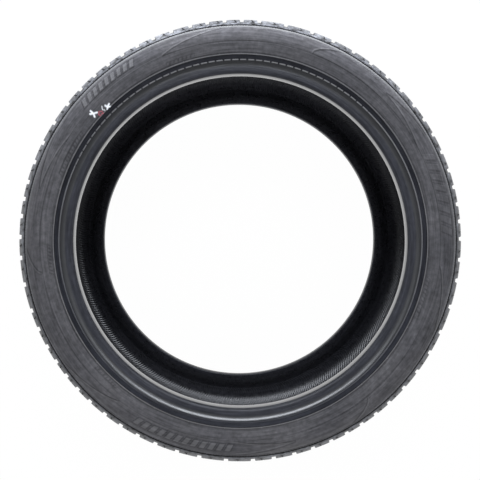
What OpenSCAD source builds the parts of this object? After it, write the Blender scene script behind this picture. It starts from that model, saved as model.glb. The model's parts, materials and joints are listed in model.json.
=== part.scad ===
// Low-profile radial car tyre, moulded in one piece.
// It lies on one sidewall: its axle line is the Z axis and its centre is the origin.

/* [Overall] */
// Diameter over the middle of the tread
outer_d = 678.6; // [672:0.2:690]
// Width over the widest part of the two sidewalls
section_w = 245; // [238:1:256]
// Diameter of the smallest ring of each bead, where it grips the rim
bead_d = 482; // [478:0.5:485]

/* [Tread] */
// Width from one tread edge to the other
tread_w = 206.6; // [200:0.2:212]
// Half the width of the nearly flat middle of the tread
crown_half = 50; // [44:1:56]
// Radius of the tread's curve across that middle
crown_r = 600; // [450:10:1200]
// Radius of the tread's curve from there to the tread edge
shoulder_r = 105.6; // [98:0.2:120]
// How far the side of a shoulder block drops below the tread edge
block_drop = 3.2; // [2.6:0.1:4.5]
// How far the side of a shoulder block flares outwards as it drops
block_flare = 2.4; // [1.8:0.1:3.4]
// Thickness of the rubber and belts under the middle of the tread
crown_gauge = 17; // [15:0.5:20]

/* [Main grooves] */
// Middle of the two inner grooves, from the middle of the tread
inner_groove_z = 15.5; // [13:0.5:18]
// Middle of the two outer grooves, from the middle of the tread
outer_groove_z = 46.5; // [43:0.5:49]
// Width of a main groove at the tread face
groove_w = 9.6; // [7:0.2:11]
// Width of a main groove at its floor
groove_floor_w = 6.4; // [4:0.2:7]
// Depth of a main groove
groove_depth = 8; // [6.5:0.1:8.5]
// Height of the wear bars on the groove floors
wear_bar_h = 1.6; // [1:0.1:2.5]
// Length of a wear bar round the tyre
wear_bar_l = 9; // [6:1:14]
// Places round the tyre that have wear bars
wear_bar_count = 6; // [4:1:8]

/* [Pitches] */
// Relative length of pitch A, the shortest block
pitch_a = 4.53; // [4:0.01:5]
// Relative length of pitch B
pitch_b = 5.1; // [4.5:0.01:5.6]
// Relative length of pitch C
pitch_c = 5.46; // [5:0.01:6]
// Relative length of pitch D
pitch_d = 5.98; // [5.4:0.01:6.5]
// Relative length of pitch E, the longest block
pitch_e = 7.04; // [6.4:0.01:7.5]
// Order of the pitches round the tyre, chosen so that the blocks don't hum on the road
pitch_order = "AAAABBAABBCCDDEEAAAABBAAAABBDDCCAACCEEBBAAAABBBBDDEECCBBAAAACCDDEECC";
// Angle of the first cross groove
first_groove = 0.4; // [0:0.05:5]
// How far the pattern of the lower half is turned against the upper one
half_shift = 2.4; // [0:0.1:5]

/* [Shoulder blocks] */
// Width of a cross groove at its floor
cross_w = 5.6; // [3.5:0.1:6.5]
// Lean of each wall of a cross groove
cross_draft = 6; // [4:1:18]
// Depth of a cross groove where it meets the outer main groove
cross_depth_in = 6.4; // [5:0.1:7]
// Depth of a cross groove halfway to the tread edge
cross_depth_mid = 3.8; // [3.2:0.1:6]
// How far above the foot of the blocks the cross grooves run out
cross_lift = 0.9; // [0.5:0.1:2]
// Slant of the cross grooves
cross_slant = 1; // [0:0.5:14]
// Width of the sipe in the middle of each block
sipe_w = 1.8; // [0.8:0.1:2.4]
// Distance of the sipe's inner end from the middle of the outer main groove
sipe_start = 10; // [8:0.5:20]
// Distance of the sipe's outer end from the tread edge
sipe_stop = 7; // [5:0.5:12]
// Slant of the sipes
sipe_slant = 9; // [5:1:15]

/* [Rib slots] */
// Width of a slot in the second ribs
slot_w = 2.6; // [1.5:0.1:3.5]
// Length of a slot in the second ribs, measured from the middle of the outer main groove
slot_l = 20; // [15:0.5:22]
// Slant of the slots
slot_slant = 28; // [15:1:35]
// Depth of the slots
slot_depth = 5; // [3.5:0.1:6]

/* [Sidewall] */
// Height above the bead ring where the sidewall is widest
widest_h = 39; // [36:0.5:44]
// How far the plain sidewall stays inside the full section width
side_inset = 0.5; // [0.2:0.1:1.2]
// Width of the small groove under the foot of the blocks
foot_groove_w = 2.2; // [1.6:0.1:3]
// Depth of the small groove under the foot of the blocks
foot_groove_d = 1; // [0.6:0.1:1.4]
// Height of the small rib beside that groove
foot_rib_h = 0.7; // [0.4:0.1:1.2]
// Width of the small rib beside that groove
foot_rib_w = 3.4; // [2.6:0.1:4.2]
// Height of the fine styling line above the bead ring
style_h = 45.6; // [44:0.2:52]
// Radius of the round groove that makes the styling line
style_r = 0.8; // [0.6:0.1:1.2]
// How far the middle of that round lies outside the sidewall
style_lift = 0.3; // [0.1:0.1:0.5]
// Height of the rim protector's outer edge above the bead ring
protector_h = 26.8; // [25:0.1:28.5]
// Width of the flat on the rim protector
protector_w = 1.9; // [1.2:0.1:3]
// Height of the step from the plain sidewall up to the rim protector
protector_step = 1.9; // [1:0.1:2.4]
// Width of that step
step_w = 1.5; // [0.8:0.1:2.2]
// Thickness of the wall where the sidewall is widest
side_gauge = 7.5; // [6:0.5:9]

/* [Bead] */
// Distance from the outer face of each bead to the full section width
bead_inset = 8; // [5:0.25:10]
// Width of a bead from its outer face to its toe
bead_base = 17.5; // [16:0.5:20]
// Length of the straight ring at the toe of each bead
seat_l = 6; // [4:0.5:7]
// Angle of the seat from there to the heel
seat_taper = 5; // [2:0.5:6]
// Rounding of the heel, which fits the corner of the rim
heel_r = 6; // [5:0.5:7]
// Rounding of the toe
toe_r = 2; // [1:0.25:3]
// Height of the flat outer face of the bead above the seat
face_h = 11.5; // [10.5:0.5:12.5]
// Radius of the hollow that the rim's flange sits in
flange_r = 9.9; // [8:0.1:10.5]
// Angle that this hollow turns through
flange_turn = 44; // [38:1:48]
// Height of the fitting rib, which shows that the bead sits evenly
fit_rib_h = 0.7; // [0.4:0.1:1]
// Width of the fitting rib
fit_rib_w = 2.4; // [1.8:0.1:3]

/* [Hidden] */
$fn = 240;
skin = 4;
rubber = [0.16, 0.165, 0.175];

half_w = section_w / 2;
tread_half = tread_w / 2;
tread_r = outer_d / 2;
bead_r = bead_d / 2;
widest_r = bead_r + widest_h;
heel_z = half_w - bead_inset;
toe_z = heel_z - bead_base;

// Points on an arc round c, from angle a0 to a1, without its first point
function arc(c, r, a0, a1, n) =
    [for (i = [1:n]) c + r * [cos(a0 + (a1 - a0) * i / n), sin(a0 + (a1 - a0) * i / n)]];

// Centre of the circle through three points
function centre3(a, b, c) =
    let (u = b - a, v = c - a, k = 2 * (u.x * v.y - u.y * v.x), uu = u * u, vv = v * v)
    a + [v.y * uu - u.y * vv, u.x * vv - v.x * uu] / k;

// Points on the arc through three points, without the first
function arc3(a, b, c, n) =
    let (m = centre3(a, b, c), p = a - m, q = c - m)
    arc(m, norm(p), atan2(p.y, p.x), atan2(q.y, q.x), n);

// Points on a curve from a to d that leaves towards b and arrives from c, without its first point
function bezier(a, b, c, d, n) =
    [for (i = [1:n]) let (t = i / n, s = 1 - t)
        s * s * s * a + 3 * s * s * t * b + 3 * s * t * t * c + t * t * t * d];

// The two top corners of a small rib of height h that stands between p and q
function rib_top(p, q, h) =
    let (d = q - p, out = [d.y, -d.x] / norm(d))
    [p + d * 0.2 + out * h, p + d * 0.8 + out * h];

// Sum of the first n numbers in v
function sum_to(v, n) = n == 0 ? 0 : v[n - 1] + sum_to(v, n - 1);

// Tread curve: a nearly flat crown that runs smoothly into a rounder shoulder
crown_c = [tread_r - crown_r, 0];
crown_a = asin(crown_half / crown_r);
crown_end = crown_c + crown_r * [cos(crown_a), sin(crown_a)];
shoulder_c = crown_c + (crown_r - shoulder_r) * [cos(crown_a), sin(crown_a)];
edge_a = asin((tread_half - shoulder_c.y) / shoulder_r);
tread_edge = shoulder_c + shoulder_r * [cos(edge_a), sin(edge_a)];
block_foot = tread_edge + [-block_drop, block_flare];
rib_foot = block_foot + foot_groove_w * [-cos(45), sin(45)];
foot_groove = (block_foot + rib_foot) / 2 - foot_groove_d * [sin(45), cos(45)];
side_top = rib_foot + foot_rib_w * [-cos(45), sin(45)];

// Radius of the tread face at a distance z from its middle
function face_r(z) =
    z < crown_half
        ? crown_c.x + sqrt(crown_r * crown_r - z * z)
        : shoulder_c.x + sqrt(pow(shoulder_r, 2) - pow(z - shoulder_c.y, 2));

// Rim protector and sidewall
protector_out = [bead_r + protector_h, half_w];
protector_in = protector_out - [protector_w, 0];
side_foot = protector_out + [step_w, -protector_step];
side_widest = [widest_r, half_w - side_inset];
side_c = centre3(side_top, side_widest, side_foot);
style_out = bead_r + style_h - side_c.x;
style_c = side_c + [style_out, style_lift + sqrt(pow(norm(side_top - side_c), 2) - style_out * style_out)];

// Bead: straight ring, tapered seat, heel, flat face, hollow for the flange, fitting rib
taper_z0 = toe_z + toe_r + seat_l;
taper_z1 = heel_z - heel_r;
taper_r1 = bead_r + (taper_z1 - taper_z0) * tan(seat_taper);
face_top = [bead_r + face_h, heel_z];
flange_c = face_top + [0, flange_r];
flange_end = flange_c + flange_r * [sin(flange_turn), -cos(flange_turn)];
rib_end = flange_end + fit_rib_w * [1, 0.1];

// Inside: flat crown, elliptical shoulder and a wall that thickens towards the bead
inner_r = tread_r - crown_gauge;
inner_z = half_w - side_gauge;
inner_flat = crown_half - 5;
inner_n = 16;
inner_toe = [bead_r + toe_r + 2.5, toe_z];

half_outline = concat(
    [[tread_r, 6]],
    arc(crown_c, crown_r, 0, crown_a, 3),
    [tread_edge, block_foot, foot_groove, rib_foot],
    rib_top(rib_foot, side_top, foot_rib_h),
    [side_top],
    arc3(side_top, side_widest, side_foot, 14),
    [protector_out, protector_in, rib_end],
    rib_top(rib_end, flange_end, fit_rib_h),
    [flange_end],
    arc(flange_c, flange_r, flange_turn - 90, -90, 5),
    [[taper_r1 + heel_r, heel_z]],
    arc([taper_r1 + heel_r, taper_z1], heel_r, 90, 180, 6),
    [[bead_r, taper_z0], [bead_r, toe_z + toe_r]],
    arc([bead_r + toe_r, toe_z + toe_r], toe_r, 180, 270, 3),
    [inner_toe],
    bezier(inner_toe, inner_toe + [14, 1], [widest_r - 16, inner_z], [widest_r, inner_z], 10),
    [for (i = [1:inner_n]) let (a = 90 * i / inner_n)
        [widest_r + (inner_r - widest_r) * sin(a), inner_flat + (inner_z - inner_flat) * cos(a)]]
);

// Pitches in degrees, and the angle at which each one starts
pitch_units = [pitch_a, pitch_b, pitch_c, pitch_d, pitch_e];
pitch_raw = [for (c = pitch_order) pitch_units[ord(c) - ord("A")]];
pitch_n = len(pitch_raw);
pitch_deg = pitch_raw * 360 / sum_to(pitch_raw, pitch_n);
pitch_at = [for (i = [0:pitch_n - 1]) first_groove + sum_to(pitch_deg, i)];

// Floor of the cross grooves: an arc from the outer main groove to the foot of the blocks
cross_z0 = outer_groove_z;
cross_z1 = (outer_groove_z + tread_half) / 2;
cross_in = [face_r(cross_z0) - cross_depth_in, cross_z0];
cross_mid = [face_r(cross_z1) - cross_depth_mid, cross_z1];
side_up = [block_drop, -block_flare] / norm([block_drop, block_flare]);
cross_out = block_foot + cross_lift * side_up + [-side_up.y, side_up.x];
cross_c = centre3(cross_in, cross_mid, cross_out);
cross_r = norm(cross_in - cross_c);
cross_floor = arc3(cross_in, cross_mid, cross_out, 2);
cross_fall = atan2(cross_in.x - cross_out.x, cross_out.y - cross_in.y);
cross_bulge = cross_r - norm((cross_in + cross_out) / 2 - cross_c);

// Radius of that floor at a distance z from the middle of the tread
function cross_floor_r(z) = cross_c.x + sqrt(pow(cross_r, 2) - pow(z - cross_c.y, 2));

// Half of the tyre's section and its mirror image, with a round shoulder on each, turned round the axle
module casing() {
    lower = [for (i = [len(half_outline) - 1:-1:0]) [half_outline[i].x, -half_outline[i].y]];
    shoulder_zone = [crown_end, tread_edge, tread_edge + [skin, skin], crown_end + [skin, skin]];
    rotate_extrude() difference() {
        union() {
            polygon(concat(half_outline, lower));
            for (side = [0, 1]) mirror([0, side]) intersection() {
                translate(shoulder_c) circle(shoulder_r);
                polygon(shoulder_zone);
            }
        }
        for (side = [0, 1]) mirror([0, side]) translate(style_c) circle(style_r);
    }
}

// One main groove all round at distance z, less its wear bars
module main_groove(z) {
    floor_r = face_r(abs(z)) - groove_depth;
    top_r = tread_r + skin;
    top_half = groove_floor_w / 2 + (groove_w - groove_floor_w) / 2 * (top_r - floor_r) / groove_depth;
    difference() {
        rotate_extrude() translate([0, z]) polygon([
            [floor_r, -groove_floor_w / 2], [top_r, -top_half],
            [top_r, top_half], [floor_r, groove_floor_w / 2]]);
        for (i = [0:wear_bar_count - 1]) rotate(360 * i / wear_bar_count)
            translate([floor_r - skin, -wear_bar_l / 2, z - groove_w])
                cube([skin + wear_bar_h, wear_bar_l, 2 * groove_w]);
    }
}

// A slab of width w across the shoulder, from the tread face down to the points of a floor
module shoulder_slab(floor_points, w) {
    above = tread_r + skin;
    last = floor_points[len(floor_points) - 1];
    rotate([90, 0, 0]) linear_extrude(height = w, center = true)
        polygon(concat([[above, floor_points[0].y]], floor_points, [[above, last.y]]));
}

// Turns what lies across the shoulder about the radial line at distance z
module slanted(slant, z) {
    translate([0, 0, z]) rotate([slant, 0, 0]) translate([0, 0, -z]) children();
}

// A cross groove whose two walls lean apart
module cross_groove(slant) {
    reach = 5 * skin;
    lean = tan(cross_draft);
    slanted(slant, tread_half) intersection() {
        shoulder_slab(concat([cross_in], cross_floor, [cross_out + [0, skin]]), cross_w + 2 * reach * lean);
        translate([cross_in.x + cross_bulge / 2, 0, cross_in.y]) rotate([0, -cross_fall, 0])
            linear_extrude(height = 4 * norm(cross_out - cross_in), center = true)
                polygon([[-skin, skin * lean - cross_w / 2], [reach, -cross_w / 2 - reach * lean],
                    [reach, cross_w / 2 + reach * lean], [-skin, cross_w / 2 - skin * lean]]);
    }
}

// The narrow sipe in the middle of a shoulder block, closed at both ends
module shoulder_sipe(slant) {
    z0 = outer_groove_z + sipe_start;
    z1 = tread_half - sipe_stop;
    slanted(slant, (z0 + z1) / 2) shoulder_slab(
        [[cross_floor_r(z0), z0], cross_floor[0], [cross_floor_r(z1), z1]], sipe_w);
}

// A slot in the second rib, open to the outer main groove
module rib_slot(slant) {
    translate([tread_r - slot_depth, 0, outer_groove_z]) rotate([slant, 0, 0])
        translate([0, -slot_w / 2, -slot_l]) cube([slot_depth + skin, slot_w, slot_l]);
}

// The cross grooves, sipes and slots of one half of the tread, which slant one way or the other
module half_pattern(way) {
    for (i = [0:pitch_n - 1]) rotate(pitch_at[i]) {
        cross_groove(way * cross_slant);
        rotate(pitch_deg[i] / 2) {
            shoulder_sipe(way * sipe_slant);
            rib_slot(way * slot_slant);
        }
    }
}

// The casing with its main grooves
module ribbed_casing() {
    difference() {
        casing();
        for (z = [-outer_groove_z, -inner_groove_z, inner_groove_z, outer_groove_z]) main_groove(z);
    }
}

module tyre() {
    color(rubber) difference() {
        ribbed_casing();
        half_pattern(1);
        mirror([0, 0, 1]) rotate(half_shift) half_pattern(-1);
    }
}

tyre();
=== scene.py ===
import json
import math

import bpy
import numpy as np
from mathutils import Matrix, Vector


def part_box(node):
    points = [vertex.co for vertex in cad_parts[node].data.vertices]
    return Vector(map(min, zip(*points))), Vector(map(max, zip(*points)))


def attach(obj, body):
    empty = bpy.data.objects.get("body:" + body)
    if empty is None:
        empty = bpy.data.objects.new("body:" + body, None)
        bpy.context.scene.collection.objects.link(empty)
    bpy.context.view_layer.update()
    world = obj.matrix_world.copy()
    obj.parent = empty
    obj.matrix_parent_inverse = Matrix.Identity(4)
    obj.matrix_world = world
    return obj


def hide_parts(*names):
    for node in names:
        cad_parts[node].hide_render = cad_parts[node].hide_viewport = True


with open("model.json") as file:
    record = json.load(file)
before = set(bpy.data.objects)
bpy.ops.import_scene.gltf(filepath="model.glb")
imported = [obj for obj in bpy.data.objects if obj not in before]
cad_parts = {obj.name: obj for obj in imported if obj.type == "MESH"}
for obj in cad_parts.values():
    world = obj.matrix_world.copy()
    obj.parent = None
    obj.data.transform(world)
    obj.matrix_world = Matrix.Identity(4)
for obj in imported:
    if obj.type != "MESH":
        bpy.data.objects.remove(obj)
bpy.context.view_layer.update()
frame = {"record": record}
cadLow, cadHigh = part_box("tyre")
seats = {m["name"]: m for m in frame["record"]["mounts"]}
print("frame loaded, tyre spans", [round(1000 * (b - a), 1) for a, b in zip(cadLow, cadHigh)], "mm")

mm = 0.001
treadR = cadHigh.x / mm
halfW = cadHigh.z / mm
beadR = seats["bead_seat_upper"]["dims"]["r_mm"]

# Section of the tyre, in mm: r from the axle line, z from the middle of the tread
section = {
    "treadHalf": 103.3, "crownHalf": 50.0, "crownR": 600.0, "shoulderR": 105.6,
    "blockDrop": 3.2, "blockFlare": 2.4, "crownGauge": 17.0, "sideGauge": 7.5,
    "footGrooveW": 2.2, "footGrooveD": 1.0, "footRibH": 0.7, "footRibW": 3.4,
    "widestH": 39.0, "sideInset": 0.5,
    "protectorH": 26.8, "protectorW": 1.9, "protectorStep": 1.9, "stepW": 1.5,
    "beadInset": 8.0, "beadBase": 17.5, "seatL": 6.0, "seatTaper": 5.0, "heelR": 6.0, "toeR": 2.0,
    "toeFlat": 2.5, "faceH": 11.5, "flangeR": 9.9, "flangeTurn": 44.0, "fitRibH": 0.7, "fitRibW": 2.4,
    "linerShort": 5.0,
}

# Angle between two faces, in degrees, from which their edge stays sharp
sharp = {"tread": 32, "side": 40, "bead": 40, "liner": 50}

# Tread pattern, in mm and degrees, with how dark the painted shade is in its cuts and round the ends
# of the sipes
tread = {
    "innerGroove": 15.5, "outerGroove": 46.5, "grooveW": 9.6, "grooveFloorW": 6.4, "grooveDepth": 8.0,
    "wearBarH": 1.6, "wearBarL": 9.0, "wearBars": 6,
    "pitches": {"A": 4.53, "B": 5.1, "C": 5.46, "D": 5.98, "E": 7.04},
    "order": "AAAABBAABBCCDDEEAAAABBAAAABBDDCCAACCEEBBAAAABBBBDDEECCBBAAAACCDDEECC",
    "first": 0.4, "halfShift": 2.4,
    "crossW": 5.6, "crossDraft": 6.0, "crossIn": 6.4, "crossMid": 3.8, "crossLift": 0.9, "crossSlant": 1.0,
    "sipeW": 1.8, "sipeStart": 10.0, "sipeStop": 7.0, "sipeSlant": 9.0,
    "slotW": 2.6, "slotL": 20.0, "slotSlant": 28.0, "slotDepth": 5.0,
    "bevel": 0.45, "lip": 0.35, "floorRound": 0.6, "sipeBevel": 0.3, "sipeLip": 0.25, "sipeRamp": 0.12,
    "sipeShade": 0.95, "grooveShade": 0.85, "endShade": 1.0, "endOut": 1.9, "endReach": 3.0,
}

# How pale the dust and painted highlight on the rib and the dust on the edge are, how dark the painted shade
# in the groove and beside the step, how deep the teeth of the rib and how dark the painted shade in them,
# and where the dust and painted highlight are thickest
dustAndPaintedLight = {"rib": 1.0, "edge": 0.38, "groove": 0.85, "step": 0.35, "teeth": 0.15, "tooth": 0.3,
        "dustAt": 80.0, "dustFade": 0.95}


def polar(c, r, degrees):
    a = np.radians(degrees)
    return np.stack([c[0] + r * np.cos(a), c[1] + r * np.sin(a)], -1)


# centre of the circle through three points
def circleThrough(a, b, c):
    u, v = b - a, c - a
    k = 2 * (u[0] * v[1] - u[1] * v[0])
    return a + np.array([v[1] * (u @ u) - u[1] * (v @ v), u[0] * (v @ v) - v[0] * (u @ u)]) / k


# points spaced evenly on the arc through three points
def arcThrough(a, b, c, n):
    m = circleThrough(a, b, c)
    t = [math.degrees(math.atan2(*(p - m)[::-1])) for p in (a, c)]
    return polar(m, np.hypot(*(a - m)), np.linspace(t[0], t[1], n))


# cubic curve from a to d, leaving towards b and arriving from c
def bezier(a, b, c, d, n):
    t = np.linspace(0, 1, n)[:, None]
    return (1 - t) ** 3 * a + 3 * (1 - t) ** 2 * t * b + 3 * (1 - t) * t * t * c + t ** 3 * d


def line(a, b, n):
    t = np.linspace(0, 1, n)[:, None]
    return (1 - t) * np.asarray(a, float) + t * np.asarray(b, float)


# joins stretches of points into one outline, without doubled points
def chain(*stretches):
    out = np.vstack(stretches)
    keep = np.r_[True, np.hypot(*np.diff(out, axis=0).T) > 1e-6]
    return out[keep]


# the places that the tread, the sidewall, the bead and the liner hang on
def landmarks(s):
    k = {}
    k["crownC"] = np.array([treadR - s["crownR"], 0.0])
    crownA = math.degrees(math.asin(s["crownHalf"] / s["crownR"]))
    k["shoulderC"] = polar(k["crownC"], s["crownR"] - s["shoulderR"], crownA)
    edgeA = math.degrees(math.asin((s["treadHalf"] - k["shoulderC"][1]) / s["shoulderR"]))
    k["edge"] = polar(k["shoulderC"], s["shoulderR"], edgeA)
    k["foot"] = k["edge"] + [-s["blockDrop"], s["blockFlare"]]
    along = np.array([-math.sqrt(0.5), math.sqrt(0.5)])
    k["ribFoot"] = k["foot"] + s["footGrooveW"] * along
    k["footGroove"] = (k["foot"] + k["ribFoot"]) / 2 - s["footGrooveD"] * np.array([along[1], along[1]])
    k["sideTop"] = k["ribFoot"] + s["footRibW"] * along
    k["widest"] = np.array([beadR + s["widestH"], halfW - s["sideInset"]])
    k["protOut"] = np.array([beadR + s["protectorH"], halfW])
    k["protIn"] = k["protOut"] - [s["protectorW"], 0]
    k["sideFoot"] = k["protOut"] + [s["stepW"], -s["protectorStep"]]
    heelZ = halfW - s["beadInset"]
    k["toeZ"] = heelZ - s["beadBase"]
    k["taper0"] = np.array([beadR, k["toeZ"] + s["toeR"] + s["seatL"]])
    taperL = heelZ - s["heelR"] - k["taper0"][1]
    k["taper1"] = k["taper0"] + [taperL * math.tan(math.radians(s["seatTaper"])), taperL]
    k["faceTop"] = np.array([beadR + s["faceH"], heelZ])
    k["flangeC"] = k["faceTop"] + [0, s["flangeR"]]
    k["flangeEnd"] = polar(k["flangeC"], s["flangeR"], s["flangeTurn"] - 90)
    k["ribEnd"] = k["flangeEnd"] + s["fitRibW"] * np.array([1, 0.1])
    k["toe"] = np.array([beadR + s["toeR"], k["toeZ"]])
    k["innerToe"] = np.array([beadR + s["toeR"] + s["toeFlat"], k["toeZ"]])
    k["innerR"] = treadR - s["crownGauge"]
    k["innerZ"] = halfW - s["sideGauge"]
    k["innerFlat"] = s["crownHalf"] - s["linerShort"]
    return k


marks = landmarks(section)


# radius of the tread face at a distance z from its middle: the crown's arc, then the shoulder's
def faceR(z):
    z = np.abs(np.asarray(z, float))
    crown = marks["crownC"][0] + np.sqrt(section["crownR"] ** 2 - z * z)
    over = np.clip(z - marks["shoulderC"][1], 0, section["shoulderR"] * 0.99)
    shoulder = marks["shoulderC"][0] + np.sqrt(section["shoulderR"] ** 2 - over * over)
    return np.where(z < section["crownHalf"], crown, shoulder)


# a closed ring of quads from radii and heights on a grid: rows round the section, columns round the axle
def ringMesh(name, angle, radius, height, sharpFrom, flip=False):
    rows, cols = radius.shape
    co = np.stack([radius * np.cos(angle), radius * np.sin(angle), height], -1).reshape(-1, 3) * mm
    i, j = np.meshgrid(np.arange(rows), np.arange(cols), indexing="ij")
    i2, j2 = (i + 1) % rows, (j + 1) % cols
    quads = np.stack([i * cols + j, i * cols + j2, i2 * cols + j2, i2 * cols + j], -1).reshape(-1, 4)
    if flip:
        quads = quads[:, ::-1]
    mesh = bpy.data.meshes.new(name)
    mesh.vertices.add(len(co))
    mesh.vertices.foreach_set("co", co.astype(np.float32).ravel())
    mesh.loops.add(quads.size)
    mesh.loops.foreach_set("vertex_index", quads.astype(np.int32).ravel())
    mesh.polygons.add(len(quads))
    mesh.polygons.foreach_set("loop_start", np.arange(0, quads.size, 4, dtype=np.int32))
    mesh.update(calc_edges=True)
    mesh.polygons.foreach_set("use_smooth", np.ones(len(quads), bool))
    obj = bpy.data.objects.new(name, mesh)
    bpy.context.scene.collection.objects.link(obj)
    mesh.set_sharp_from_angle(angle=math.radians(sharpFrom))
    return obj


# adds the hidden rows that close a ring, each of one radius and one height, after the rows that show
def withHidden(radius, height, hidden):
    for r, z in hidden:
        radius = np.vstack([radius, np.full((1, radius.shape[1]), r)])
        height = np.vstack([height, np.full((1, height.shape[1]), z)])
    return radius, height


# one number for each vertex, which a material reads by name; the hidden rows, which come last, get 0
def paintAttribute(obj, name, values):
    shown = np.asarray(values, np.float32).ravel()
    hidden = np.zeros(len(obj.data.vertices) - len(shown), np.float32)
    attribute = obj.data.attributes.new(name, "FLOAT", "POINT")
    attribute.data.foreach_set("value", np.concatenate([shown, hidden]))


def smoothStep(edge0, edge1, x):
    t = np.clip((x - edge0) / (edge1 - edge0), 0, 1)
    return t * t * (3 - 2 * t)


# 1 at the middle, falling off on both sides as a bell curve of the given reach
def bell(x, middle, reach):
    return np.exp(-((x - middle) / reach) ** 2)


# Half of the tread as a grid. Rows follow the section with a depth of their own at the main grooves, and
# columns run along the cross grooves and sipes, each with a depth that depends on where the row lies.
def treadHalf(name, side, turn):
    t = tread
    units = np.array([t["pitches"][c] for c in t["order"]])
    pitch = units * 360 / units.sum()
    start = t["first"] + turn + np.r_[0, np.cumsum(pitch)[:-1]]

    def grooveRows(z):
        top, floor, d = t["grooveW"] / 2, t["grooveFloorW"] / 2, t["grooveDepth"]
        half = [(-top - t["bevel"], 0), (-top, t["lip"]),
                (-floor - t["lip"], d - 2 * t["lip"]), (-floor + t["floorRound"], d)]
        return [(z + a, b) for a, b in half] + [(z, d)] + [(z - a, b) for a, b in half[::-1]]

    def plainRows(z0, z1, n):
        return [(z, 0) for z in np.linspace(z0, z1, n)]

    # rows lie less than 0.5 mm apart where a slot or a sipe ends, and a few mm apart between those places
    gap = t["grooveW"] / 2 + t["bevel"]
    slotEnd = t["outerGroove"] - t["slotL"] * math.cos(math.radians(t["slotSlant"]))
    sipeEnd = t["outerGroove"] + t["sipeStart"]
    sipeStop = section["treadHalf"] - t["sipeStop"]
    rows = plainRows(0, t["innerGroove"] - gap - 0.5, 3) + grooveRows(t["innerGroove"])
    rows += plainRows(t["innerGroove"] + gap + 0.5, slotEnd - 0.6, 2) + plainRows(slotEnd, slotEnd + 0.4, 2)
    rows += plainRows(slotEnd + 3, t["outerGroove"] - gap - 1, 3) + grooveRows(t["outerGroove"])
    rows += plainRows(t["outerGroove"] + gap + 1, sipeEnd - 0.2, 2)
    rows += plainRows(sipeEnd + 0.2, sipeEnd + 0.2, 1)
    rows += plainRows(sipeEnd + 3, sipeStop - 3, 10) + plainRows(sipeStop - 0.4, sipeStop, 2)
    rows += plainRows(sipeStop + 2.5, section["treadHalf"] - 0.5, 3)
    z, down = np.array(rows).T
    r = faceR(z)
    sideRows = line(marks["edge"] + 0.12 * (marks["foot"] - marks["edge"]), marks["foot"], 6)
    z, down = np.r_[z, sideRows[:, 1]], np.r_[down, np.zeros(len(sideRows))]
    r = np.r_[r, sideRows[:, 0]]

    # floor of the cross grooves, an arc from the outer main groove to just above the foot of the blocks
    up = (marks["edge"] - marks["foot"]) / np.hypot(*(marks["edge"] - marks["foot"]))
    z0 = t["outerGroove"]
    z1 = (z0 + section["treadHalf"]) / 2
    crossIn = np.array([faceR(z0) - t["crossIn"], z0])
    crossMid = np.array([faceR(z1) - t["crossMid"], z1])
    crossOut = marks["foot"] + t["crossLift"] * up + np.array([-up[1], up[0]])
    c = circleThrough(crossIn, crossMid, crossOut)
    floorR = c[0] + np.sqrt(np.hypot(*(crossIn - c)) ** 2 - (z - c[1]) ** 2)
    shoulder = z > z0 - 0.1
    cross = np.where(shoulder, np.maximum(r - floorR, 0), 0)
    slot = np.where((z > slotEnd + 0.2) & ~shoulder, np.maximum(r - treadR + t["slotDepth"], 0), 0)
    sipe = np.where((z > sipeEnd) & (z < sipeStop - 0.2), cross, 0) + slot

    # width of the cross grooves: their walls lean apart from a line just over the chord of the floor
    span = crossOut - crossIn
    fall = math.atan2(-span[0], span[1])
    bulge = np.hypot(*(crossIn - c)) - np.hypot(*((crossIn + crossOut) / 2 - c))
    chord = crossIn[0] + (z - z0) * span[0] / span[1]
    lean = math.tan(math.radians(t["crossDraft"]))
    grooveHalf = t["crossW"] / 2 + ((floorR - chord) * math.cos(fall) - bulge / 2) * lean
    grooveHalf = np.where(shoulder, grooveHalf, grooveHalf[np.argmax(shoulder)])
    grooveTop = grooveHalf + np.where(shoulder, cross, t["crossIn"]) * math.cos(fall) * lean + 0.01
    sipeHalf = np.where(shoulder, t["sipeW"], t["slotW"]) / 2

    # the cross grooves slant a little, the sipes more, and the slots of the second rib most
    def slanted(awayFrom, slant):
        return side * awayFrom * math.tan(math.radians(slant))

    crossShift = np.where(shoulder, slanted(section["treadHalf"] - z, t["crossSlant"]), 0)
    sipeShift = slanted((sipeEnd + sipeStop) / 2 - np.minimum(z, sipeStop), t["sipeSlant"])
    sipeShift = np.where(z < z0 - 1, slanted(z0 - z, t["slotSlant"]), sipeShift)

    # one column: where it starts in degrees, then its distance from there and its depth on each row
    zero = np.zeros_like(z)
    columns, bases = [], []

    def addColumn(base, offset, depth):
        bases.append(base)
        columns.append((offset + 0 * z, depth))

    # the two sides of a cut: one wall, and the same wall turned about the middle
    def addCut(base, shift, wall):
        for offset, depth in wall:
            addColumn(base, shift + offset, depth)
        for offset, depth in wall[::-1]:
            addColumn(base, shift - offset, depth)

    # plain columns at shares of the way from one cut to the next
    def addPlain(base0, base1, shift0, shift1, shares):
        for f in shares:
            addColumn(base0 + f * (base1 - base0), shift0 + f * (shift1 - shift0), zero)

    crossWall = ((-grooveTop - t["bevel"], zero), (-grooveTop, np.minimum(cross, t["lip"])),
                 (-grooveHalf, cross))
    sipeWall = ((-sipeHalf - t["sipeBevel"], zero), (-sipeHalf, np.minimum(sipe, t["sipeLip"])),
                (-sipeHalf + t["sipeRamp"], sipe))
    for i, begin in enumerate(start):
        middle = begin + pitch[i] / 2
        addCut(begin, crossShift, crossWall)
        addPlain(begin, middle, crossShift, sipeShift, (0.36, 0.68))
        addCut(middle, sipeShift, sipeWall)
        addPlain(middle, begin + pitch[i], sipeShift, crossShift, (0.32, 0.64))
    offset = np.stack([a for a, b in columns], 1)
    depth = np.stack([b for a, b in columns], 1)
    angle = np.radians(np.array(bases))[None, :] + offset / r[:, None]

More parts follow.
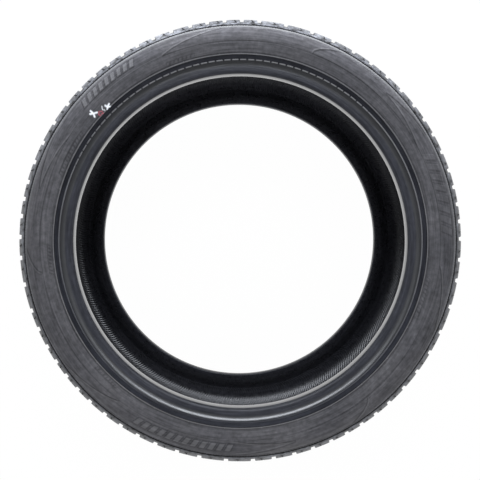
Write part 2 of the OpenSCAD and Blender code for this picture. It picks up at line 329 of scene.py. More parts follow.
    # wear bars stand on the floors of the main grooves
    barStep = 2 * math.pi / t["wearBars"]
    away = np.abs((angle + barStep / 2) % barStep - barStep / 2) * treadR
    barTop = t["grooveDepth"] - t["wearBarH"]
    deep = np.where(away < t["wearBarL"] / 2, np.minimum(down[:, None], barTop), down[:, None])
    depth = np.maximum(deep, depth)
    radius = r[:, None] - depth
    height = np.repeat(z[:, None], radius.shape[1], 1)

    # hidden inside of the ring, 9 to 13 mm under the face
    inner = [marks["foot"] - [1.5, 3], (faceR(90.0) - 9, 88), (treadR - 13, 40), (treadR - 13, 0)]
    radius, height = withHidden(radius, height, inner)
    angle = np.vstack([angle, np.repeat(angle[-1:], len(inner), 0)])
    obj = ringMesh(name, angle, radius, side * height, sharp["tread"], flip=side < 0)

    # painted shade by depth, in the cuts where shade falls: the first half of each pitch's columns belongs to
    # its cross groove and the second half to its sipe, whose cut comes before its plain columns
    perPitch = len(columns) // len(start)
    fromSipe = np.arange(depth.shape[1]) % perPitch - perPitch // 2
    sipeSide = t["sipeShade"] * smoothStep(0, 0.5, depth)
    crossSide = t["grooveShade"] * smoothStep(0.1, 2.5, depth)
    shade = np.where(fromSipe >= 0, sipeSide, crossSide)
    # painted shade at the foot of the blocks, where they meet the sidewall
    toFoot = np.hypot(r - marks["foot"][0], z - marks["foot"][1])[:, None]
    shade = np.maximum(shade, dustAndPaintedLight["groove"] * (1 - smoothStep(0.9, 1.9, toFoot)))
    # painted shade round the outer end of each sipe, where the cut opens: a bell curve over the height
    sipeEndShade = t["endShade"] * bell(z, sipeStop + t["endOut"], t["endReach"])
    inCut = (fromSipe >= 0) & (fromSipe < 2 * len(sipeWall))
    shade = np.maximum(shade, sipeEndShade[:, None] * inCut)
    paintAttribute(obj, "shade", shade)
    return obj


# Relief of the sidewall, in mm, with how dark the painted shade in its creases and how pale the painted
# highlight on its lines is. Its boundaries are given in degrees and in mm of radius
relief = {
    "sectors": 3, "styleR": 286.6, "styleW": 0.9, "styleDepth": 0.45,
    "arcAt": 69.2, "arcSweep": 6.6, "arcPower": 1.8,
    "lowR": 287.2, "highR": 308.6, "wedgeAt": 45.4, "wedgeR": 297.4, "wedgeOpen": 27.3,
    "endLow": -7.0, "endHigh": -25.0,
    "lensH": 0.4, "labelH": -0.5, "ridgeH": 0.8, "ridgeW": 1.8, "lineH": 0.45, "lineW": 0.9,
    "creaseShade": 0.45, "styleShade": 0.3, "ridgePale": 0.15, "linePale": 0.2,
}

# Plain slanted bars in place of the words: from and to in degrees, lowest and highest radius in mm, pitch and
# slant in degrees, height in mm, and how pale their tops are and how dark the painted shade round their
# edges. barFill is the share of the pitch that a bar fills
barKeys = ("from", "to", "low", "high", "pitch", "slant", "h", "pale", "shade")
barFields = [dict(zip(barKeys, row)) for row in (
    (25.5, 1.5, 287.5, 305.5, 3.0, 1.5, 0.5, 0.05, 0.3),
    (139.5, 120.5, 293.5, 305.5, 2.1, 1.0, 0.6, 0.24, 0.45),
    (268.0, 237.5, 292.0, 303.5, 2.4, 0.9, 0.5, 0.2, 0.4),
    (160.0, 145.0, 270.5, 275.5, 1.2, 0.4, 0.3, 0.0, 0.35),
    (190.0, 180.5, 270.5, 275.5, 1.1, 0.4, 0.3, 0.0, 0.35),
    (230.0, 221.0, 270.5, 275.0, 1.1, 0.4, 0.3, 0.0, 0.35),
    (349.0, 337.0, 270.5, 275.0, 1.2, 0.4, 0.3, 0.0, 0.35),
    (113.0, 103.0, 270.5, 275.0, 1.3, 0.4, 0.3, 0.0, 0.35),
)]
barFill = 0.6


def wrapDegrees(a, low):
    return (a - low) % 360 + low


# distance in mm to the edge of the nearest bar of one field, counted positive inside the bar
def insideBar(deg, r, f):
    d = wrapDegrees(deg, f["to"] - 30)
    u = (r - f["low"]) / (f["high"] - f["low"])
    lead = f["from"] - d - f["slant"] * (u - 0.5)
    cell = lead / f["pitch"]
    count = int((f["from"] - f["to"]) / f["pitch"])
    cross = np.abs(cell - np.floor(cell) - 0.5) * f["pitch"] * math.pi / 180 * r
    halfBar = barFill * f["pitch"] / 2 * math.pi / 180 * r
    within = np.minimum(halfBar - cross, np.minimum(r - f["low"], f["high"] - r))
    return np.where((cell > 0) & (cell < count), within, -5)


# height, shine, paleness and painted shade of the sidewall's ornament at each angle (degrees) and radius
# (mm):
# the paleness is painted highlight on the ridge and lines and a paler top on the bars
def sidewallRelief(deg, r, words):
    p = relief
    span = 360 / p["sectors"]
    a = (deg - (p["arcAt"] - span)) % span + (p["arcAt"] - span)
    t = np.clip((r - p["lowR"]) / (p["highR"] - p["lowR"]), 0, 1)
    # lower and upper line of the label field
    opening = np.clip((p["wedgeAt"] - a) / (p["wedgeAt"] - p["wedgeOpen"]), 0, 1)
    top = p["wedgeR"] + (p["highR"] + 1.5 - p["wedgeR"]) * opening ** 0.85
    bottom = p["wedgeR"] + (p["lowR"] - 1 - p["wedgeR"]) * opening ** 1.3
    closing = np.clip((p["endLow"] - a) / (p["endLow"] - p["endHigh"]), 0, 1)
    bottom = np.where(a < p["endLow"], p["lowR"] + (p["highR"] + 1 - p["lowR"]) * closing ** 0.8, bottom)
    inside = (a < p["wedgeAt"]) & (a > p["endHigh"])
    edge = np.minimum(top - r, r - bottom)
    label = np.where(inside, smoothStep(-0.5, 0.5, edge), 0)
    labelLine = np.where(inside, bell(edge, p["lineW"], p["lineW"]), 0)
    crease = np.where(inside, bell(edge, -p["lineW"], p["lineW"]), 0)
    inPanel = smoothStep(p["lowR"] - 1, p["lowR"], r)
    inPanel = inPanel * (1 - smoothStep(p["highR"] + 0.4, p["highR"] + 1.4, r))
    # rounded arc that starts the smooth lens field, as the distance off it in mm
    arcA = p["arcAt"] - p["arcSweep"] * t ** p["arcPower"]
    slope = p["arcSweep"] * p["arcPower"] * np.maximum(t, 0.02) ** (p["arcPower"] - 1) * math.pi / 180
    off = (arcA - a) * math.pi / 180 * r / np.sqrt(1 + (slope * r / (p["highR"] - p["lowR"])) ** 2)
    lens = smoothStep(-0.3, 0.6, off) * (a > p["endHigh"]) * (1 - label) * (a > p["wedgeOpen"] - 1)
    ridge = bell(off, -0.6, p["ridgeW"] / 2) * (a > p["wedgeAt"])
    beside = bell(off, 1.4, 0.9) * (a > p["wedgeAt"])
    h = inPanel * (p["lensH"] * lens + p["labelH"] * label + p["ridgeH"] * ridge + p["lineH"] * labelLine)
    h = h - p["styleDepth"] * bell(r, p["styleR"], p["styleW"] / 2)
    # painted shade in the creases beside the label lines and the ridge, and along the styling line
    creases = inPanel * (p["creaseShade"] * np.maximum(crease, beside))
    shade = np.maximum(creases, p["styleShade"] * bell(r, p["styleR"], 0.8))
    # painted highlight on the ridge and on the label lines
    pale = inPanel * np.maximum(p["ridgePale"] * ridge, p["linePale"] * labelLine)
    # bars with a sunk middle, painted shade round their edges and a paler top
    for f in barFields if words else ():
        within = insideBar(deg, r, f)
        bar = smoothStep(-0.4, 0.4, within)
        h = h + f["h"] * (bar - 0.4 * smoothStep(1.2, 2.0, within))
        pale = np.maximum(pale, f["pale"] * bar)
        shade = np.maximum(shade, f["shade"] * bell(within, -0.9, 0.8))
    shine = inPanel * np.maximum(lens, 0.5 * ridge)
    return h, shine, pale, shade


# Daubs of marking paint beside the rim protector: strokes in mm, along the sidewall and outwards from
# a middle
ink = {
    "at": 137.2, "r": 272.9, "soft": 0.5,
    "white": [
        {"from": (8.8, 5.0), "to": [(8.7, 10.6), (12.5, 8.2), (11.4, 0.9), (4.6, 2.4)], "half": 1.2},
        {"from": (-11.5, -2.9), "to": [(-16.2, -1.3), (-14.5, -5.4), (-10.8, 0.6), (-9.2, -5.2)],
         "half": 1.2},
        {"from": (-4.0, -0.1), "to": [(-6.7, 3.3), (-5.4, -3.7)], "half": 0.45},
    ],
    "red": [
        {"from": (4.9, -1.0), "to": [(1.6, 1.2), (4.5, -4.6)], "half": 0.45},
        {"from": (-1.6, -1.6), "to": [(1.6, 1.2), (-0.6, -5.6)], "half": 0.45},
        {"from": (1.4, -3.4), "to": [(4.5, -4.6), (-0.6, -5.6)], "half": 0.45},
    ],
}


# how much paint of one colour lies at each angle (degrees) and radius (mm): 1 on a stroke, 0 away from it
def inkPaint(colour, deg, r):
    u = wrapDegrees(deg - ink["at"], -180) * math.pi / 180 * ink["r"]
    v = r - ink["r"]
    paint = np.zeros_like(u)
    for stroke in ink[colour]:
        a = np.array(stroke["from"])
        for end in stroke["to"]:
            d = np.array(end) - a
            t = np.clip(((u - a[0]) * d[0] + (v - a[1]) * d[1]) / (d @ d), 0, 1)
            off = np.hypot(u - a[0] - t * d[0], v - a[1] - t * d[1]) - stroke["half"]
            paint = np.maximum(paint, 1 - smoothStep(-ink["soft"], ink["soft"], off))
    return paint


# share of the dust and painted highlight at each angle: thickest at dustAndPaintedLight["dustAt"], near the
# top on the side of the main light, least on the far side of the tyre
def dustAndHighlightAround(deg):
    return 1 - dustAndPaintedLight["dustFade"] * (0.5 - 0.5 * np.cos(np.radians(deg - dustAndPaintedLight["dustAt"])))


# a rib's two upper corners, a fifth of its width in from each foot and raised along the outward direction
def ribCorners(foot, end, out, h):
    return [foot + (end - foot) * share + out * h for share in (0.2, 0.8)]


# Sidewall from the foot of the blocks to the flat of the rim protector
def sidewall(name, side, columns, rows, words):
    s, k = section, marks
    d = k["sideTop"] - k["ribFoot"]
    out = np.array([d[1], -d[0]]) / np.hypot(*d)
    ribA, ribB = ribCorners(k["ribFoot"], k["sideTop"], out, s["footRibH"])
    outline = chain(
        line(k["foot"], k["footGroove"], 2), line(k["footGroove"], k["ribFoot"], 2),
        line(k["ribFoot"], ribA, 2), line(ribA, ribB, 3), line(ribB, k["sideTop"], 2),
        arcThrough(k["sideTop"], k["widest"], k["sideFoot"], rows),
        line(k["sideFoot"], k["protOut"], 3), line(k["protOut"], k["protIn"], 3))
    tangent = np.gradient(outline, axis=0)
    normal = np.stack([tangent[:, 1], -tangent[:, 0]], -1) / np.hypot(*tangent.T)[:, None]
    r = outline[:, 0]
    angle = np.linspace(0, 2 * math.pi, columns, endpoint=False)[None, :]
    deg = np.degrees(angle) + 0 * outline[:, :1]
    h, shine, reliefPale, dark = sidewallRelief(deg, outline[:, :1] + 0 * angle, words)
    # the relief fades out at the step of the rim protector and at the rib
    band = smoothStep(k["sideFoot"][0] + 0.5, k["sideFoot"][0] + 3, r)
    band = (band * (1 - smoothStep(k["sideTop"][0] - 1.5, k["sideTop"][0] - 0.3, r)))[:, None]
    # fine teeth cut into the rib under the blocks, one on every third column
    onRib = (r < ribA[0] + 0.2) & (r > ribB[0] - 0.2)
    teeth = onRib[:, None] * (np.arange(columns) % 3 == 0)[None, :]
    h = h * band - dustAndPaintedLight["tooth"] * teeth
    radius = outline[:, :1] + h * normal[:, :1]
    height = outline[:, 1:] + h * normal[:, 1:]
    # hidden inside of the ring, 3 mm behind the face
    behind = (outline - 3 * normal)[-10:9:-16]
    hidden = [k["protIn"] - [0, 4], *behind, k["foot"] - [2.5, 3]]
    radius, height = withHidden(radius, height, hidden)
    obj = ringMesh(name, angle + 0 * radius, radius, side * height, sharp["side"], flip=side < 0)
    paintAttribute(obj, "shine", shine * band)
    # dust, and a painted highlight that is strongest near the top, on the rib under the blocks, and dust on
    # the edge of the rim protector
    rib = smoothStep(ribB[0] - 2.2, ribB[0] - 0.3, r) * (1 - smoothStep(ribA[0], ribA[0] + 0.7, r))
    edge = smoothStep(k["protIn"][0], k["protIn"][0] + 1, r)
    edge = edge * (1 - smoothStep(k["protOut"][0], k["sideFoot"][0], r))
    pale = np.maximum(dustAndPaintedLight["rib"] * rib[:, None] * dustAndHighlightAround(deg), dustAndPaintedLight["edge"] * edge[:, None])
    paintAttribute(obj, "pale", np.maximum(pale, reliefPale))
    # painted shade lies in the groove at the foot of the blocks, beside the step, in the relief and in the
    # teeth
    groove = np.exp(-((r - k["foot"][0] + 0.7) / 1.5) ** 4)
    step = bell(r, k["sideFoot"][0] + 0.6, 1.0)
    under = np.maximum(dustAndPaintedLight["groove"] * groove, dustAndPaintedLight["step"] * step)[:, None]
    shade = np.maximum(np.maximum(under, dark * band), dustAndPaintedLight["teeth"] * teeth)
    paintAttribute(obj, "shade", shade)
    if words:
        for attribute, colour in (("inkWhite", "white"), ("inkRed", "red")):
            paintAttribute(obj, attribute, inkPaint(colour, deg, outline[:, :1] + 0 * angle))
    return obj


# Bead from the flat of the rim protector to the toe, with the fitting rib cut into dashes over part of the
# way, how pale the painted highlight with some dust on the rib is, and how dark the painted shade on the
# flank, in the hollow and in the gaps. Angles in degrees, depth in mm
bead = {"dashFrom": 47.0, "dashTo": 152.0, "dashPitch": 2.5, "dashGap": 0.6, "dashDepth": 0.75,
        "ribPale": 0.7, "flankShade": 0.05, "hollowShade": 0.8, "gapShade": 0.7}


def beadRing(name, side, columns):
    s, k = section, marks
    d = k["flangeEnd"] - k["ribEnd"]
    out = np.array([d[1], -d[0]]) / np.hypot(*d)
    out = out if out[1] > 0 else -out
    ribA, ribB = ribCorners(k["ribEnd"], k["flangeEnd"], out, s["fitRibH"])
    heelC = k["taper1"] + [s["heelR"], 0]
    toeC = np.array([beadR + s["toeR"], k["toeZ"] + s["toeR"]])
    outline = chain(
        line(k["protIn"] + [0.8, 0], k["protIn"], 2), line(k["protIn"], k["ribEnd"], 7),
        line(k["ribEnd"], ribA, 3), line(ribA, ribB, 3), line(ribB, k["flangeEnd"], 3),
        polar(k["flangeC"], s["flangeR"], np.linspace(s["flangeTurn"] - 90, -90, 9)),
        line(k["faceTop"], [heelC[0], k["faceTop"][1]], 4),
        polar(heelC, s["heelR"], np.linspace(90, 180, 12)), line(k["taper1"], k["taper0"], 3),
        line(k["taper0"], [beadR, toeC[1]], 4), polar(toeC, s["toeR"], np.linspace(180, 270, 6)))
    r = outline[:, 0]
    angle = np.linspace(0, 2 * math.pi, columns, endpoint=False)[None, :]
    deg = np.degrees(angle)
    # gaps between the dashes: the rib is sunk over the first part of each pitch
    cell = (deg / bead["dashPitch"]) % 1 * bead["dashPitch"]
    gap = smoothStep(0, 0.12, cell) * (1 - smoothStep(bead["dashGap"] - 0.12, bead["dashGap"], cell))
    dashed = smoothStep(bead["dashFrom"] - 3, bead["dashFrom"], deg)
    dashed = dashed * (1 - smoothStep(bead["dashTo"], bead["dashTo"] + 6, deg))
    onRib = (r > k["flangeEnd"][0] + 0.2) & (r < k["ribEnd"][0] - 0.2)
    gaps = np.where(onRib[:, None], gap * dashed, 0)
    height = outline[:, 1:] - bead["dashDepth"] * gaps
    radius = outline[:, :1] + 0 * angle
    hidden = [k["innerToe"] + [1, 4], [k["flangeEnd"][0], k["faceTop"][1] - 4], k["protIn"] - [0, 4]]
    radius, height = withHidden(radius, height, hidden)
    obj = ringMesh(name, angle + 0 * radius, radius, side * height, sharp["bead"], flip=side < 0)
    # the seat and the hollow of the upper bead are the glossiest, and the seat is the smoothest
    seat = 1 - smoothStep(k["taper1"][0] + 0.4, k["taper1"][0] + 3, r)
    hollow = smoothStep(k["flangeC"][0] - 0.8, k["flangeC"][0] + 1.6, r)
    hollow = hollow * (1 - smoothStep(k["flangeEnd"][0] - 0.4, k["flangeEnd"][0] + 0.4, r))
    for attribute, amount in (("seat", seat), ("gloss", np.maximum(seat, hollow))):
        paintAttribute(obj, attribute, (side > 0) * amount[:, None] + 0 * angle)
    # painted shade lies in the hollow and in the gaps, and a little on the slope beside the rim protector
    flank = smoothStep(k["ribEnd"][0] - 0.3, k["ribEnd"][0] + 0.3, r)
    flank = flank * (1 - smoothStep(k["protIn"][0] - 1.2, k["protIn"][0] - 0.2, r))
    shade = np.maximum(bead["flankShade"] * flank, bead["hollowShade"] * hollow)[:, None]
    paintAttribute(obj, "shade", np.maximum(shade, bead["gapShade"] * gaps))
    # the top of the fitting rib is paler with painted highlight and some dust, strongest near the top, not in
    # the gaps
    top = (r > ribB[0] - 0.3) & (r < ribA[0] + 0.3)
    paintAttribute(obj, "pale", np.where(top[:, None], bead["ribPale"] * (1 - gaps) * dustAndHighlightAround(deg), 0))
    return obj


# Inner liner from toe to toe: a flat crown, elliptical shoulders and walls that run into the beads
def innerLiner(name, columns):
    s, k = section, marks
    w = k["widest"][0]

    # quarter ellipse over the shoulder, pushed outwards by dr and sideways by dz
    def shoulderArc(degrees, dr, dz):
        a = np.radians(degrees)
        return np.stack([w + (k["innerR"] + dr - w) * np.sin(a),
                         k["innerFlat"] + (k["innerZ"] + dz - k["innerFlat"]) * np.cos(a)], -1)

    wallTop = np.array([w, k["innerZ"]])
    lower = bezier(k["innerToe"], k["innerToe"] + [14, 1], wallTop - [16, 0], wallTop, 16)
    half = chain(k["toe"][None, :], lower, shoulderArc(np.linspace(0, 90, 22), 0, 0),
                 line([k["innerR"], k["innerFlat"]], [k["innerR"], 0], 5))
    outline = np.vstack([half, (half * [1, -1])[::-1][1:]])
    angle = np.linspace(0, 2 * math.pi, columns, endpoint=False)[None, :]
    # hidden outside, a little deeper in the rubber
    deeper = np.vstack([shoulderArc(np.linspace(90, 0, 5), 3, 2.5), [k["toe"][0] + 3, k["toeZ"] + 3]])
    hidden = np.vstack([(deeper * [1, -1])[::-1], deeper])
    radius, height = withHidden(outline[:, :1] + 0 * angle, outline[:, 1:] + 0 * angle, hidden)
    return ringMesh(name, angle + 0 * radius, radius, height, sharp["liner"])


# Small vent nubs on the outer edge of the rim protector, all one mesh: half balls at even angles, in mm and
# degrees
nubs = {"count": 32, "first": 6.4, "r": 0.95, "out": 0.5, "sides": 8, "rings": (0, 35, 65), "pale": 0.5}


def ventNubs(name, side):
    n = nubs["sides"]
    u = np.linspace(0, 2 * math.pi, n, endpoint=False)
    v = np.radians(nubs["rings"])
    ring = np.stack([np.outer(np.cos(v), np.cos(u)), np.outer(np.cos(v), np.sin(u)),
                     np.outer(np.sin(v), np.ones_like(u))], -1).reshape(-1, 3)
    ball = np.vstack([[[0, 0, -0.5]], ring, [[0, 0, 1]]])
    # a fan below, bands of quads between the rings, and a fan above
    faces = [[0, 1 + (j + 1) % n, 1 + j] for j in range(n)]
    for i in range(len(v) - 1):
        below, above = 1 + i * n, 1 + (i + 1) * n
        faces += [[below + j, below + (j + 1) % n, above + (j + 1) % n, above + j] for j in range(n)]
    last = 1 + (len(v) - 1) * n
    faces += [[last + j, last + (j + 1) % n, last + n] for j in range(n)]
    points, allFaces = [], []
    c = marks["protOut"] + [nubs["out"], -nubs["r"]]
    p = ball * nubs["r"] + [c[0], 0, c[1]]
    for i in range(nubs["count"]):
        a = math.radians(nubs["first"] + i * 360 / nubs["count"])
        x = p[:, 0] * math.cos(a) - p[:, 1] * math.sin(a)
        y = p[:, 0] * math.sin(a) + p[:, 1] * math.cos(a)
        allFaces += [[q + len(points) for q in (f if side > 0 else f[::-1])] for f in faces]
        points += np.stack([x, y, side * p[:, 2]], -1).tolist()
    mesh = bpy.data.meshes.new(name)
    mesh.from_pydata((np.array(points) * mm).tolist(), [], allFaces)
    mesh.polygons.foreach_set("use_smooth", np.ones(len(allFaces), bool))
    obj = bpy.data.objects.new(name, mesh)
    bpy.context.scene.collection.objects.link(obj)
    paintAttribute(obj, "pale", np.full(len(points), nubs["pale"]))
    return obj


def newNode(tree, kind, **inputs):
    node = tree.nodes.new(kind)
    for key, value in inputs.items():
        if hasattr(node, key) and key not in node.inputs:
            setattr(node, key, value)
        else:
            node.inputs[key.replace("_", " ")].default_value = value
    return node


# gives a socket its value: a link from another socket, or a plain number or colour
def feed(tree, socket, value):
    if isinstance(value, bpy.types.NodeSocket):
        tree.links.new(value, socket)
    else:
        socket.default_value = value


def mathOf(tree, operation, *values):
    node = newNode(tree, "ShaderNodeMath", operation=operation)
    for socket, value in zip(node.inputs, values):
        feed(tree, socket, value)
    return node.outputs[0]


def vectorOf(tree, operation, *values):
    node = newNode(tree, "ShaderNodeVectorMath", operation=operation)
    for socket, value in zip(node.inputs, values):
        feed(tree, socket, value)
    return node.outputs["Value" if operation == "LENGTH" else "Vector"]


def mixOf(tree, share, a, b, blend="MIX"):
    node = newNode(tree, "ShaderNodeMix", data_type="RGBA", blend_type=blend)
    for index, value in ((0, share), (6, a), (7, b)):
        feed(tree, node.inputs[index], value)
    return node.outputs[2]


def rangeOf(tree, value, low, high, newLow, newHigh):
    node = newNode(tree, "ShaderNodeMapRange", From_Min=low, From_Max=high, To_Min=newLow, To_Max=newHigh)
    tree.links.new(value, node.inputs["Value"])
    return node.outputs["Result"]


def noiseOf(tree, vector, scale, detail, roughness):
    node = newNode(tree, "ShaderNodeTexNoise", Detail=detail, Roughness=roughness)
    tree.links.new(vector, node.inputs["Vector"])
    feed(tree, node.inputs["Scale"], scale)
    return node.outputs["Fac"]


def bumpOf(tree, height, strength, distance, normal=None):
    node = newNode(tree, "ShaderNodeBump", Distance=distance)
    tree.links.new(height, node.inputs["Height"])
    feed(tree, node.inputs["Strength"], strength)
    if normal:
        tree.links.new(normal, node.inputs["Normal"])
    return node.outputs["Normal"]


def painted(tree, name):
    return newNode(tree, "ShaderNodeAttribute", attribute_name=name).outputs["Fac"]


# Colours of paint and of the dust and painted highlight that paler places mix towards, the streaks round the
# tyre, how many patches and mottles lie on a metre with the depth of the grain in metres, and the lines that
# the curing bladder leaves
paints = {"dust": (0.21, 0.21, 0.215), "white": (0.8, 0.82, 0.85), "red": (0.45, 0.09, 0.12)}
streaks = {"round": 5.0, "across": 340.0, "depth": 0.36}
patches = {"broad": 9.0, "fine": 140.0, "grainDeep": 0.0002, "roughSwing": 0.05}
bladder = {"lines": 420, "slant": 0.9, "strength": 0.3, "deep": 0.0005}


# Shader group that every rubber uses: mottled colour, dust that settles in patches, and a fine moulded grain
def rubberGroup():
    tree = bpy.data.node_groups.new("mouldedRubber", "ShaderNodeTree")
    for side, kind, labels in (
            ("INPUT", "NodeSocketColor", ("Rubber", "Dust")),
            ("INPUT", "NodeSocketFloat", ("Dustiness", "Roughness", "Mottle", "Grain", "Grain Size")),
            ("OUTPUT", "NodeSocketColor", ("Color",)),
            ("OUTPUT", "NodeSocketFloat", ("Roughness", "Streak", "Open")),
            ("OUTPUT", "NodeSocketVector", ("Normal",))):
        for label in labels:
            tree.interface.new_socket(label, in_out=side, socket_type=kind)
    given = tree.nodes.new("NodeGroupInput").outputs
    coord = tree.nodes.new("ShaderNodeTexCoord").outputs["Object"]
    broad = noiseOf(tree, coord, patches["broad"], 4.0, 0.55)
    fine = noiseOf(tree, coord, patches["fine"], 3.0, 0.6)
    grain = noiseOf(tree, coord, given["Grain Size"], 2.0, 0.5)
    dustShare = mathOf(tree, "MULTIPLY", rangeOf(tree, broad, 0.38, 0.66, 0.0, 1.0), given["Dustiness"])
    colour = mixOf(tree, dustShare, given["Rubber"], given["Dust"])
    swing = rangeOf(tree, fine, 0.3, 0.7, -1.0, 1.0)
    colour = mixOf(tree, 1.0, colour, mathOf(tree, "MULTIPLY_ADD", swing, given["Mottle"], 1.0), "MULTIPLY")
    # streaks that run round the axle: noise over the direction from it, and closely over the distance
    fromAxle = vectorOf(tree, "MULTIPLY", coord, (1, 1, 0))
    direction = vectorOf(tree, "NORMALIZE", fromAxle)
    around = vectorOf(tree, "MULTIPLY", direction, (streaks["round"], streaks["round"], 0))
    distance = tree.nodes.new("ShaderNodeCombineXYZ")
    rings = mathOf(tree, "MULTIPLY", vectorOf(tree, "LENGTH", fromAxle), streaks["across"])
    tree.links.new(rings, distance.inputs["Z"])
    streak = noiseOf(tree, vectorOf(tree, "ADD", around, distance.outputs[0]), 1.0, 3.0, 0.6)
    lighter = rangeOf(tree, streak, 0.3, 0.7, 1 - streaks["depth"], 1 + streaks["depth"])
    colour = mixOf(tree, 1.0, colour, lighter, "MULTIPLY")
    # dust and painted highlight on pale edges, and painted shade in narrow cuts, as painted on the mesh
    colour = mixOf(tree, painted(tree, "pale"), colour, (*paints["dust"], 1))
    light = rangeOf(tree, painted(tree, "shade"), 0.0, 1.0, 1.0, 0.0)
    colour = mixOf(tree, 1.0, colour, light, "MULTIPLY")
    roughness = mathOf(tree, "MULTIPLY_ADD", swing, patches["roughSwing"], given["Roughness"])
    normal = bumpOf(tree, grain, given["Grain"], patches["grainDeep"])
    made = tree.nodes.new("NodeGroupOutput").inputs
    for label, value in (("Color", colour), ("Roughness", roughness), ("Streak", streak), ("Open", light),
                         ("Normal", normal)):
        tree.links.new(value, made[label])
    return tree


# Looks of the rubbers: colours of rubber and dust, how dusty, rough, mottled and grainy they are, and how
# much they mirror
looks = {
    "tread": {"rubber": (0.046, 0.048, 0.055), "dust": (0.15, 0.154, 0.168), "dustiness": 0.45,
              "roughness": 0.5, "mottle": 1.0, "grain": 0.6, "grainSize": 600.0, "specular": 0.5},
    "side": {"rubber": (0.053, 0.0525, 0.058), "dust": (0.098, 0.0955, 0.1005), "dustiness": 0.45,
             "roughness": 0.68, "mottle": 0.3, "grain": 0.5, "grainSize": 600.0, "specular": 0.35,
             "polish": 0.16},
    "bead": {"rubber": (0.021, 0.022, 0.028), "dust": (0.038, 0.04, 0.05), "dustiness": 0.4,
             "roughness": 0.4, "mottle": 0.15, "grain": 0.04, "grainSize": 900.0, "specular": 0.3,
             "coat": 0.05, "coatRoughness": 0.33, "seatRoughness": 0.15, "coatIOR": 1.75,
             "rings": 0.6, "ringDeep": 0.001},
    "liner": {"rubber": (0.018, 0.0185, 0.0225), "dust": (0.028, 0.028, 0.033), "dustiness": 0.3,
              "roughness": 0.3, "mottle": 0.3, "grain": 0.4, "grainSize": 500.0, "specular": 0.65},
}


# a Principled material around the rubber group, which mirrors less where the mesh is painted with shade
def rubberMaterial(name, look):
    material = bpy.data.materials.new(name)
    material.use_nodes = True
    tree = material.node_tree
    shader = tree.nodes["Principled BSDF"]
    shader.inputs["Coat Weight"].default_value = look.get("coat", 0.0)
    shader.inputs["Coat Roughness"].default_value = look.get("coatRoughness", 0.2)
    shader.inputs["Coat IOR"].default_value = look.get("coatIOR", 1.5)
    node = tree.nodes.new("ShaderNodeGroup")
    node.node_tree = rubber
    node.inputs["Rubber"].default_value = (*look["rubber"], 1)
    node.inputs["Dust"].default_value = (*look["dust"], 1)
    for key in ("dustiness", "roughness", "mottle", "grain"):
        node.inputs[key.capitalize()].default_value = look[key]
    node.inputs["Grain Size"].default_value = look["grainSize"]
    tree.links.new(node.outputs["Color"], shader.inputs["Base Color"])
    tree.links.new(node.outputs["Roughness"], shader.inputs["Roughness"])
    tree.links.new(node.outputs["Normal"], shader.inputs["Normal"])
    mirror = rangeOf(tree, node.outputs["Open"], 0.0, 1.0, 0.0, look["specular"])
    tree.links.new(mirror, shader.inputs["Specular IOR Level"])
    return material, tree, shader, node


# the sidewall is smoother where it shines, and carries the two paints, one over the other
def sidewallMaterial():
    look = looks["side"]
    material, tree, shader, node = rubberMaterial("sidewallRubber", look)
    shine = painted(tree, "shine")
    smoother = mathOf(tree, "MULTIPLY_ADD", shine, -look["polish"], node.outputs["Roughness"])
    tree.links.new(smoother, shader.inputs["Roughness"])
    colour = node.outputs["Color"]
    for attribute, paint in (("inkWhite", paints["white"]), ("inkRed", paints["red"])):
        colour = mixOf(tree, painted(tree, attribute), colour, (*paint, 1))
    tree.links.new(colour, shader.inputs["Base Color"])
    return material


# the bead is glossier where it is painted so, with the fine rings that the turned mould leaves
def beadMaterial():
    look = looks["bead"]
    material, tree, shader, node = rubberMaterial("beadRubber", look)
    for attribute, socket, least, most in (
            ("gloss", "Coat Weight", look["coat"], 1.0),
            ("gloss", "Specular IOR Level", look["specular"], 1.0),
            ("seat", "Coat Roughness", look["coatRoughness"], look["seatRoughness"])):
        more = rangeOf(tree, painted(tree, attribute), 0.0, 1.0, least, most)
        tree.links.new(more, shader.inputs[socket])
    rings = bumpOf(tree, node.outputs["Streak"], look["rings"], look["ringDeep"], node.outputs["Normal"])
    tree.links.new(rings, shader.inputs["Normal"])
    return material


# the liner has fine slanted lines: waves over the angle round the axle and the height
def linerMaterial():
    material, tree, shader, node = rubberMaterial("linerRubber", looks["liner"])
    coord = tree.nodes.new("ShaderNodeTexCoord").outputs["Object"]
    spin = newNode(tree, "ShaderNodeTexGradient", gradient_type="RADIAL")
    tree.links.new(coord, spin.inputs["Vector"])
    split = tree.nodes.new("ShaderNodeSeparateXYZ")
    tree.links.new(coord, split.inputs["Vector"])
    slanted = mathOf(tree, "MULTIPLY_ADD", split.outputs["Z"], bladder["slant"], spin.outputs["Fac"])
    wave = mathOf(tree, "SINE", mathOf(tree, "MULTIPLY", slanted, 2 * math.pi * bladder["lines"]))
    lines = bumpOf(tree, wave, bladder["strength"], bladder["deep"], node.outputs["Normal"])
    tree.links.new(lines, shader.inputs["Normal"])
    return material


def place(obj, material):
    obj.data.materials.append(material)
    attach(obj, "root")
    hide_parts("tyre")
    print("made", obj.name, len(obj.data.polygons), "faces")


rubber = rubberGroup()
sideRubber = sidewallMaterial()
beadRubber = beadMaterial()
treadRubber = rubberMaterial("treadRubber", looks["tread"])[0]
place(treadHalf("tread_upper", 1, 0.0), treadRubber)
place(treadHalf("tread_lower", -1, tread["halfShift"]), treadRubber)
place(sidewall("sidewall_upper", 1, 1500, 50, True), sideRubber)
place(sidewall("sidewall_lower", -1, 900, 40, False), sideRubber)
place(beadRing("bead_upper", 1, 1440), beadRubber)
place(beadRing("bead_lower", -1, 600), beadRubber)
place(innerLiner("inner_liner", 600), linerMaterial())
place(ventNubs("vent_nubs_upper", 1), sideRubber)
place(ventNubs("vent_nubs_lower", -1), sideRubber)

# Floor and world
stage = {"floorHalf": 6.0, "floorColour": 0.8, "floorRoughness": 0.9, "glow": 0.985,
         "world": 0.2, "worldColour": (0.93, 0.96, 1.0)}

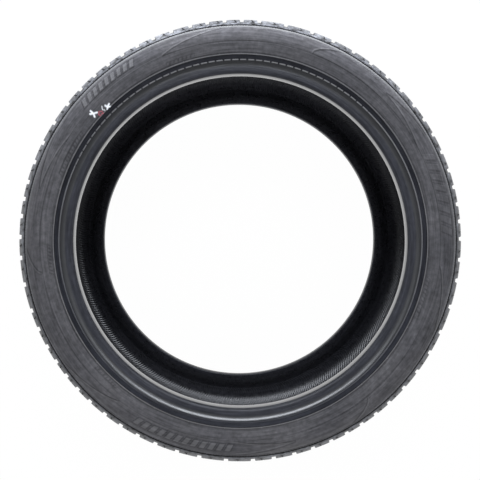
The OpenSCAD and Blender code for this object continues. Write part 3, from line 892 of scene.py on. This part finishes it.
# Softboxes: place, aim, width, height, power, colour, and whether rubber mirrors it. The main one stands
# beyond the top of the picture, a low one grazes the sidewall from there, a strip lies beside the tread, and
# a soft fill hangs over the lower half
softboxes = {
    "main": {"place": (0.0, 3.55, 5.0), "aim": (0, 0, 0), "width": 5.2, "height": 1.9, "power": 268.0,
             "colour": (0.88, 0.92, 1.0), "mirrored": True},
    "low": {"place": (0.0, 3.0, 1.0), "aim": (0, 0, 0), "width": 2.6, "height": 1.0, "power": 40.0,
            "colour": (0.95, 0.97, 1.0), "mirrored": False},
    "strip": {"place": (0.0, 1.1, 0.0), "aim": (0, 0, 0), "width": 1.3, "height": 0.22, "power": 48.0,
              "colour": (0.92, 0.95, 1.0), "mirrored": False},
    "fill": {"place": (0.0, -1.8, 2.6), "aim": (0, 0, 0), "width": 4.0, "height": 2.6, "power": 78.0,
             "colour": (1.0, 1.0, 1.0), "mirrored": False},
}

# The camera looks straight down on the tyre, as the photograph looks straight at its sidewall
camera = {"place": (-0.0103, 0.0142, 1.0087), "lens": 46.57, "sensor": 36.0, "shift": (0.01394, -0.01854),
          "farthest": 50}


# the floor glows white to the camera and to mirroring rubber, and is plain grey to all other light
def makeFloor():
    z = cadLow.z
    h = stage["floorHalf"]
    mesh = bpy.data.meshes.new("floor")
    mesh.from_pydata([(-h, -h, z), (h, -h, z), (h, h, z), (-h, h, z)], [], [(0, 1, 2, 3)])
    floor = bpy.data.objects.new("floor", mesh)
    bpy.context.scene.collection.objects.link(floor)
    material = bpy.data.materials.new("paleFloor")
    material.use_nodes = True
    tree = material.node_tree
    shader = tree.nodes["Principled BSDF"]
    c = stage["floorColour"]
    shader.inputs["Base Color"].default_value = (c, c, c, 1)
    shader.inputs["Roughness"].default_value = stage["floorRoughness"]
    shader.inputs["Specular IOR Level"].default_value = 0.0
    path = tree.nodes.new("ShaderNodeLightPath").outputs
    seen = mathOf(tree, "MAXIMUM", path["Is Camera Ray"], path["Is Glossy Ray"])
    glow = newNode(tree, "ShaderNodeEmission", Color=(1, 1, 1, 1), Strength=1.0)
    mix = tree.nodes.new("ShaderNodeMixShader")
    tree.links.new(mathOf(tree, "MULTIPLY", seen, stage["glow"]), mix.inputs["Fac"])
    tree.links.new(shader.outputs[0], mix.inputs[1])
    tree.links.new(glow.outputs[0], mix.inputs[2])
    tree.links.new(mix.outputs[0], tree.nodes["Material Output"].inputs["Surface"])
    mesh.materials.append(material)


def makeWorld():
    world = bpy.data.worlds.new("studio")
    world.use_nodes = True
    background = world.node_tree.nodes["Background"]
    background.inputs["Color"].default_value = (*stage["worldColour"], 1)
    background.inputs["Strength"].default_value = stage["world"]
    bpy.context.scene.world = world


def softbox(name, place, aim, width, height, power, colour, mirrored):
    data = bpy.data.lights.new(name, "AREA")
    data.shape = "RECTANGLE"
    data.size, data.size_y = width, height
    data.energy = power
    data.color = colour
    lamp = bpy.data.objects.new(name, data)
    lamp.location = place
    lamp.rotation_euler = (Vector(aim) - Vector(place)).to_track_quat("-Z", "Y").to_euler()
    lamp.visible_glossy = mirrored
    bpy.context.scene.collection.objects.link(lamp)


def makeCamera():
    data = bpy.data.cameras.new("camera")
    data.sensor_width = camera["sensor"]
    data.lens = camera["lens"]
    data.shift_x, data.shift_y = camera["shift"]
    data.clip_end = camera["farthest"]
    eye = bpy.data.objects.new("camera", data)
    eye.location = camera["place"]
    bpy.context.scene.collection.objects.link(eye)
    bpy.context.scene.camera = eye


makeFloor()
makeWorld()
for name, box in softboxes.items():
    softbox(name, **box)
makeCamera()
bpy.context.scene.view_settings.view_transform = "Standard"
print("stage set")
